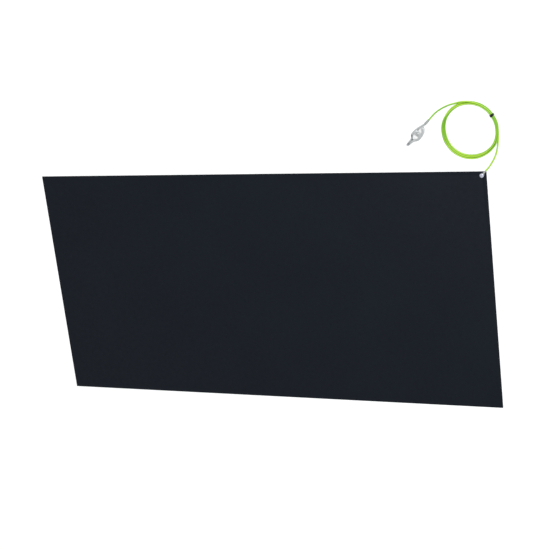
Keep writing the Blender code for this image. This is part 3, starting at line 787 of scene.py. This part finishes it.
def rounded_rectangle(x, y, radius, steps=5):
    outline = []
    for corner, (sx, sy) in enumerate(((1, 1), (-1, 1), (-1, -1), (1, -1))):
        middle_x, middle_y = sx * (x - radius), sy * (y - radius)
        for i in range(steps + 1):
            a = math.radians(90 * corner + 90 * i / steps)
            outline.append((middle_x + radius * math.cos(a), middle_y + radius * math.sin(a)))
    return outline


def punch(obj, radius, low, high):
    tool = slab("punch", circle(radius, 64), low, high)
    place(tool, Matrix.Translation((*STUD_XY, 0)))
    boolean(obj, "DIFFERENCE", tool)


# ---------------------------------------------------------------- snap


def build_stud(metal):
    """Press stud on the mat, and the eyelet whose barrel is riveted up into it from below."""
    stud = lathe("stud_piece", STUD_OUTLINE)
    place(stud, Matrix.Translation((*STUD_XY, 0)))
    dress(stud, metal, "mat", ["press_stud"])
    eyelet = lathe("eyelet_piece", EYELET_OUTLINE)
    place(eyelet, Matrix.Translation((*STUD_XY, 0)))
    dress(eyelet, metal, "mat", ["stud_eyelet"])


def build_snap(metal, terminal_metal, bronze, copper):
    at_snap = terminal_matrix()
    socket = place(lathe("socket_piece", SOCKET_OUTLINE), at_snap)
    dress(socket, metal, "snap", ["snap_socket"])
    cap = place(lathe("cap_piece", CAP_OUTLINE), at_snap)
    dress(cap, metal, "snap", ["snap_cap"])
    ring = place(split_ring(), at_snap)
    dress(ring, bronze, "snap", ["socket_spring"])
    build_terminal(terminal_metal, copper)


def split_ring():
    """The wire spring in the socket's groove, open over a short gap and wavy so that it can grip."""
    angles = np.radians(np.linspace(14, 346, 90))
    reach = SPRING_RING_RADIUS + SPRING_RING_WAVE * np.cos(3 * angles)
    heights = np.full(len(angles), SPRING_RING_Z)
    points = np.stack([reach * np.cos(angles), reach * np.sin(angles), heights], axis=1)
    return swept_tube("ring_spring_piece", points, SPRING_RING_WIRE_RADIUS, 12, cap_inset=WIRE_END)


def build_terminal(metal, copper):
    """A stamped ring under the cap, its tongue, and a rolled barrel with a seam and two crimps."""
    at_snap = terminal_matrix()
    plate = slab("terminal_piece", terminal_plate(), 0, TERMINAL_SHEET)
    hole = slab("hole", circle(TERMINAL_HOLE_RADIUS, 48), -MM, 2 * MM)
    boolean(plate, "DIFFERENCE", hole)
    place(plate, Matrix.Translation((0, 0, TERMINAL_SHEET_LOW)))
    barrel = rolled_barrel("terminal_barrel_piece", TERMINAL_BARREL_REACH, TERMINAL_BARREL_RADIUS,
                           TERMINAL_BARREL_WALL, TERMINAL_CRIMPS)
    place(barrel, Matrix.Translation((0, 0, TERMINAL_AXIS_Z)))
    boolean(plate, "UNION", barrel)
    bevel(plate, TERMINAL_EDGE, 2, 50)
    place(plate, at_snap)
    dress(plate, metal, "snap", ["ring_terminal"])
    first, last = TERMINAL_BARREL_REACH[0] + 0.3 * MM, TERMINAL_BARREL_REACH[1] + 0.25 * MM
    strands = stranded("terminal_strands", first, last, CONDUCTOR_RADIUS)
    place(strands, at_snap @ Matrix.Translation((0, 0, TERMINAL_AXIS_Z)))
    dress(strands, copper, "snap", ["conductor_at_snap"])


def terminal_plate():
    """The ring's outline with its tongue, which is waisted before the barrel."""
    half = 1.7 * MM
    start = math.asin(half / TERMINAL_RING_RADIUS)
    ring = [(TERMINAL_RING_RADIUS * math.cos(a), TERMINAL_RING_RADIUS * math.sin(a))
            for a in np.linspace(start, math.tau - start, 60)]
    tongue = [(5.6, 1.45), (6.6, 1.45), (7.6, 1.7), (8.4, 1.7)]
    low = [(x * MM, -y * MM) for x, y in tongue]
    high = [(x * MM, y * MM) for x, y in reversed(tongue)]
    return ring + low + high


def rolled_barrel(name, reach, radius, wall, crimps, mouth=0.0):
    """A barrel rolled from sheet along +X. Its edges meet in a seam on top, where each crimp presses it in.

    Where it has a mouth, its first quarter is wider and thinner and grips the insulation."""
    low, high = reach
    dent, dent_length = 0.3 * MM, 0.75 * MM
    grip_length, grip_blend = 3.2 * MM, 0.3 * MM
    seam_depth, seam_width = 0.16 * MM, 0.09
    flare_depth, flare_length = 0.1 * MM, 0.5 * MM

    def grips(x):
        return 1 / (1 + math.exp((x - low - grip_length) / grip_blend))

    def outer(x, a):
        seam = seam_depth * math.exp(-(((a - math.pi / 2) / seam_width) ** 2))
        press = sum(math.exp(-(((x - c) / dent_length) ** 2)) for c in crimps)
        flare = flare_depth * math.exp(-((min(x - low, high - x) / flare_length) ** 2))
        crimped = dent * press * max(0.0, math.sin(a)) ** 2
        return radius - flare_depth + flare - seam - crimped + 0.6 * mouth * grips(x)

    def inner(x, a):
        return outer(x, a) - wall + 0.8 * mouth * grips(x)

    return pipe_wall(name, list(np.linspace(low, high, 48)), outer, inner, 72)


def stranded(name, low, high, radius):
    """Seven twisted wires along +X."""
    wire = radius / 3
    parts = []
    for i in range(7):
        centre = 0 if i == 6 else 2 * wire
        reach = np.linspace(low, high, max(12, int((high - low) / STRAND_POINT_STEP)))
        angle = math.tau * i / 6 + (reach - low) * math.tau / STRAND_TURN_LENGTH
        points = np.stack([reach, centre * np.cos(angle), centre * np.sin(angle)], axis=1)
        parts.append(swept_tube(f"{name}_{i}", points, wire * 0.98, 10, cap_inset=0.05 * MM))
    return joined(name, parts)


def joined(name, parts):
    bm = bmesh.new()
    for part in parts:
        bm.from_mesh(part.data)
        bpy.data.objects.remove(part, do_unlink=True)
    mesh = bpy.data.meshes.new(name)
    bm.to_mesh(mesh)
    bm.free()
    shade(mesh)
    return link(name, mesh)


# ---------------------------------------------------------------- cable tie


def tie_matrix():
    angle = math.radians(TIE_ANGLE)
    middle = COIL_CENTRE + (COIL_MEAN_RADIUS + TIE_OUTWARD) * Vector((math.cos(angle), math.sin(angle)))
    return Matrix.Translation((*middle, 0)) @ Matrix.Rotation(angle, 4, "Z")


def build_tie(nylon):
    """A ratchet tie around the four passes: a strap, a head on top and a cut-off tail."""
    half, low, high, corner = TIE_INSIDE_HALF, TIE_INSIDE_Z[0], TIE_INSIDE_Z[1], TIE_CORNER
    path = []
    for k, (sx, sz) in enumerate(((1, 1), (-1, 1), (-1, -1), (1, -1))):
        for a in np.radians(np.linspace(90 * k, 90 * k + 90, 7)):
            path.append((sx * (half - corner), sz, corner, a))
    middle, rise = (low + high) / 2, (high - low) / 2 - corner
    bm = bmesh.new()
    rings = []
    for x, sz, r, a in path:
        direction = Vector((math.cos(a), 0, math.sin(a)))
        centre = Vector((x, 0, middle + sz * rise))
        ring = []
        for out, across in tie_section():
            point = centre + direction * (r + out)
            ring.append(bm.verts.new((point.x, across, point.z)))
        rings.append(ring)
    for first, second in zip(rings, rings[1:] + rings[:1]):
        for i in range(len(first)):
            j = (i + 1) % len(first)
            bm.faces.new((first[i], first[j], second[j], second[i]))
    strap = mesh_object("tie_piece", bm)
    block = rounded_rectangle(TIE_HEAD[0] / 2, TIE_HEAD[1] / 2, TIE_HEAD_CORNER)
    head = slab("tie_head", block, high + TIE_HEAD_LIFT, TIE_HEAD_TOP)
    bevel(head, TIE_HEAD_EDGE, 3)
    boolean(strap, "UNION", head)
    x, y = TIE_SLOT_HALF
    corners = [(-x, -y), (x, -y), (x, y), (-x, y)]
    slot_hole = slab("slot", corners, TIE_HEAD_TOP - TIE_SLOT_DEPTH, TIE_HEAD_TOP + MM)
    place(slot_hole, Matrix.Translation((TIE_SLOT_PLACE, 0, 0)))
    boolean(strap, "DIFFERENCE", slot_hole)
    tail = tie_tail(high)
    boolean(strap, "UNION", tail)
    place(strap, tie_matrix())
    dress(strap, nylon, "mat", ["cable_tie"])


def tie_section():
    """The strap's section as (outward from the bundle, across), with rounded corners."""
    t, w, r = TIE_STRAP_THICKNESS, TIE_STRAP_WIDTH / 2, 0.25 * MM
    return [(0, -w + r), (r, -w), (t - r, -w), (t, -w + r), (t, w - r), (t - r, w), (r, w), (0, w - r)]


def tie_tail(high):
    """The stub of the strap's tail, cut off close to the head."""
    outline = [(1.5 * MM, -2.1 * MM), (4.9 * MM, -2.1 * MM), (5.1 * MM, 2.1 * MM), (1.5 * MM, 2.1 * MM)]
    tail = slab("tie_tail", outline, high + TIE_TAIL_LIFT[0], high + TIE_TAIL_LIFT[1])
    bevel(tail, 0.2 * MM, 2)
    return tail


# ---------------------------------------------------------------- crocodile clip


def flat_curve(points, step=1.1):
    return [(x * MM, y * MM) for x, y, _ in catmull([(*p, 0) for p in points], step)]


def jaw_edge(side):
    """The toothed edge from the nose back to the throat; the mouth gapes a little behind the tip."""
    low, high = JAW_MOUTH
    pitch = (high - low) / JAW_TEETH
    points = []
    for i in range(JAW_TEETH):
        for reach, height in ((high - i * pitch, -1), (high - (i + 0.5) * pitch, 1)):
            gape = MOUTH_HALF_GAP + JAW_GAPE * math.exp(-(((reach - JAW_GAPE_REACH) / JAW_GAPE_LENGTH) ** 2))
            points.append((reach, side * gape + height * JAW_TOOTH_DEPTH / 2))
    return points + [(low, side * MOUTH_HALF_GAP - JAW_TOOTH_DEPTH / 2)]


def ear(side):
    angles = np.radians(np.linspace(8, 172, 24))
    return [(EAR_RADIUS * math.cos(a), side * EAR_RADIUS * math.sin(a)) for a in angles]


def arm_outline(curve, front, rear, side):
    end = abs(curve[-1][1])
    nose = [(NOSE_TIP - 0.9 * MM, side * end * 0.9), (NOSE_TIP - 0.15 * MM, side * end * 0.65),
            (NOSE_TIP, side * end * 0.35), (NOSE_TIP, side * MOUTH_HALF_GAP)]
    return curve + nose + jaw_edge(side) + flat_curve(front) + ear(-side) + flat_curve(rear)


def inward_normals(curve, side):
    """At each point of a back, the direction into the arm."""
    normals = []
    for i in range(len(curve)):
        along = Vector(curve[min(i + 1, len(curve) - 1)]) - Vector(curve[max(i - 1, 0)])
        along.normalize()
        normals.append(-side * Vector((-along.y, along.x)))
    return normals


def bent_prism(name, outline, moves, low, high, bend):
    """A prism whose points with a move draw in along it near both ends, as the edges of bent sheet do."""
    angles = [math.radians(a) for a in (0, 22, 45, 67, 90)]
    levels = [(low + bend * (1 - math.sin(a)), bend * (1 - math.cos(a))) for a in reversed(angles)]
    levels += [(high - bend * (1 - math.sin(a)), bend * (1 - math.cos(a))) for a in angles]
    bm = bmesh.new()
    rings = []
    for z, inset in levels:
        drawn_in = [(x + inset * move.x, y + inset * move.y) for (x, y), move in zip(outline, moves)]
        rings.append([bm.verts.new((x, y, z)) for x, y in drawn_in])
    bm.faces.new(list(reversed(rings[0])))
    bm.faces.new(rings[-1])
    for first, second in zip(rings, rings[1:]):
        for i in range(len(outline)):
            j = (i + 1) % len(outline)
            bm.faces.new((first[i], first[j], second[j], second[i]))
    return mesh_object(name, bm)


def build_arm(name, back, front, rear, side, z_range):
    """One stamped arm, hollow between its flanges, with bent edges along its back and a toothed jaw."""
    curve = flat_curve(back)
    normals = inward_normals(curve, side)
    outline = arm_outline(curve, front, rear, side)
    still = Vector((0, 0))
    tip = Vector((-0.7, -0.7 * side))
    moves = normals + [tip] + [still] * (len(outline) - len(curve) - 1)
    arm = bent_prism(name, outline, moves, z_range[0], z_range[1], CLIP_BEND)

    inner = [Vector(point) + CLIP_SHEET * normal for point, normal in zip(curve, normals)]
    inner[-1].x = NOSE_TIP - CLIP_SHEET
    tail, far = inner[0].x - 4 * MM, -side * 14 * MM
    cavity = [(tail, inner[0].y)] + [tuple(point) for point in inner] + [(inner[-1].x, far), (tail, far)]
    hollow = bent_prism("hollow", cavity, [still] + normals + [still, still], z_range[0] + CLIP_SHEET,
                        z_range[1] - CLIP_SHEET, CLIP_BEND - CLIP_SHEET)
    boolean(arm, "DIFFERENCE", hollow)
    for window in (LOWER_WINDOW_FRONT, LOWER_WINDOW_REAR):
        boolean(arm, "DIFFERENCE", slab("window", flat_curve(window), -MM, 4 * MM))
    boolean(arm, "DIFFERENCE", slab("hole", circle(PIN_RADIUS + PIN_CLEARANCE, 40), -MM, 12 * MM))
    return arm


def build_clip(metal, spring_metal, copper, boot):
    at_clip = clip_matrix()
    fixed = build_arm("clip_fixed_piece", FIXED_BACK, FIXED_WINDOW_FRONT, FIXED_WINDOW_REAR, -1, CLIP_OUTER_Z)
    barrel = rolled_barrel("barrel", BARREL_REACH, BARREL_RADIUS, BARREL_WALL, BARREL_CRIMPS, BARREL_MOUTH)
    place(barrel, Matrix.Translation((0, NECK_OFFSET, CLIP_MIDDLE_Z)))
    boolean(fixed, "UNION", barrel)
    bevel(fixed, CLIP_EDGE, 2, 45)
    place(fixed, at_clip)
    dress(fixed, metal, "mat", ["clip_fixed_arm"])

    moving = build_arm("clip_moving_piece", MOVING_BACK, MOVING_WINDOW_FRONT, MOVING_WINDOW_REAR, 1,
                       CLIP_NESTED_Z)
    bevel(moving, CLIP_EDGE, 2, 45)
    place(moving, at_clip)
    dress(moving, metal, "clip_lever", ["clip_moving_arm"])

    pin = place(lathe("clip_pin_piece", pin_outline(), 48), at_clip)
    dress(pin, metal, "mat", ["clip_pivot_pin"])
    spring = place(clip_spring(), at_clip)
    dress(spring, spring_metal, replaces=["clip_spring"])
    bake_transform(spring)

    neck = at_clip @ Matrix.Translation((0, NECK_OFFSET, CLIP_MIDDLE_Z))
    strands = stranded("clip_strands", INSULATION_END - MM, BARREL_REACH[1] - MM, CONDUCTOR_RADIUS)
    dress(place(strands, neck), copper, "mat", ["conductor_at_clip"])
    dress(place(sleeve(), neck), boot, "mat", ["clip_sleeve"])


def pin_outline():
    """A rivet with a low domed head at each end."""
    low, high = CLIP_OUTER_Z[0] / MM - 0.1, CLIP_OUTER_Z[1] / MM + 0.1
    head = [(2.6, 0.0), (2.55, 0.2), (2.2, 0.38), (1.4, 0.48), (0.0, 0.52)]
    lower = [(r, low - z) for r, z in reversed(head)]
    upper = [(r, high + z) for r, z in head]
    return lower + [(1.5, low), (1.5, high)] + upper


def clip_spring():
    """A torsion spring around the pin, with a leg on the back of each arm."""
    low, high = SPRING_Z
    fixed_end, moving_end = (Vector(end) for end in SPRING_LEG_ENDS)
    start = math.atan2(fixed_end.y, fixed_end.x) + math.acos(SPRING_COIL_RADIUS / fixed_end.length)
    end = math.atan2(moving_end.y, moving_end.x) - math.acos(SPRING_COIL_RADIUS / moving_end.length)
    sweep = (end - start) % math.tau + math.tau * SPRING_TURNS
    angles = np.linspace(start, start + sweep, 28 * SPRING_TURNS)
    heights = np.linspace(low, high, len(angles))
    x, y = SPRING_COIL_RADIUS * np.cos(angles), SPRING_COIL_RADIUS * np.sin(angles)
    coil = np.stack([x, y, heights], axis=1)
    first = np.array([[*fixed_end, low]])
    last = np.array([[*moving_end, high]])
    points = resample(np.vstack([first, coil, last]), SPRING_POINT_STEP)
    return swept_tube("clip_spring_piece", points, SPRING_WIRE_RADIUS, 12, cap_inset=WIRE_END)


def sleeve():
    """A grey boot over the crimp: ribbed for grip and drawn in towards the cord."""
    low, high = SLEEVE_REACH
    rib_height, rib_room, rib_count = 0.12 * MM, 0.14 * MM, 7
    taper, grip = 0.3 * MM, 0.32 * MM

    def outer(x, a):
        along = (x - low) / (high - low)
        ribs = rib_height * math.sin(math.tau * along * rib_count) ** 8 if 0.3 < along < 0.95 else 0
        return SLEEVE_RADIUS - rib_room - taper * (1 - along) ** 2 + ribs

    def inner(x, a):
        return SLEEVE_BORE - grip * max(0.0, 1 - 2.4 * (x - low) / (high - low))

    return pipe_wall("clip_sleeve_piece", list(np.linspace(low, high, 72)), outer, inner, 40)


# ---------------------------------------------------------------- everything


def main():
    build_camera()
    build_stage()
    cord, path, length = build_cord(earth_insulation())

    rubber_top = rubber("mat_rubber_top", (0.0024, 0.0046, 0.0084), (0.0034, 0.0060, 0.0104), 900.0)
    rubber_base = rubber("mat_rubber_base", (0.005, 0.005, 0.0055), (0.008, 0.008, 0.009), 600.0)
    build_mat(rubber_top, rubber_base, carbon_scrim())

    snap_metal = plated("snap_plating", (0.64, 0.655, 0.75), 0.3, 0.44)
    terminal_metal = plated("terminal_plating", (0.57, 0.585, 0.54), 0.24, 0.38)
    # Spots of painted shade on the clip's steel, moved to the top of the clip in the world frame.
    painted_shade_spots = [(clip_matrix() @ Vector((*spot, CLIP_OUTER_Z[1])), radius, strength)
               for spot, radius, strength in CLIP_PAINTED_SHADE]
    steel = plated("plated_steel", (0.61, 0.63, 0.63), 0.3, 0.44, stain=0.86, painted_shade_spots=painted_shade_spots)
    spring_metal = plated("spring_steel", (0.4, 0.4, 0.41), 0.2, 0.36)
    bronze = plated("spring_bronze", (0.58, 0.4, 0.21), 0.2, 0.36)
    copper = plated("copper_strands", (0.66, 0.38, 0.26), 0.24, 0.4)
    nylon = moulded("black_nylon", (0.003, 0.003, 0.003), (0.006, 0.006, 0.006), 0.36, 0.52)
    boot = moulded("grey_sleeve", (0.27, 0.29, 0.28), (0.34, 0.36, 0.35), 0.42, 0.6)

    build_stud(snap_metal)
    build_snap(snap_metal, terminal_metal, bronze, copper)
    build_tie(nylon)
    build_clip(steel, spring_metal, copper, boot)


main()
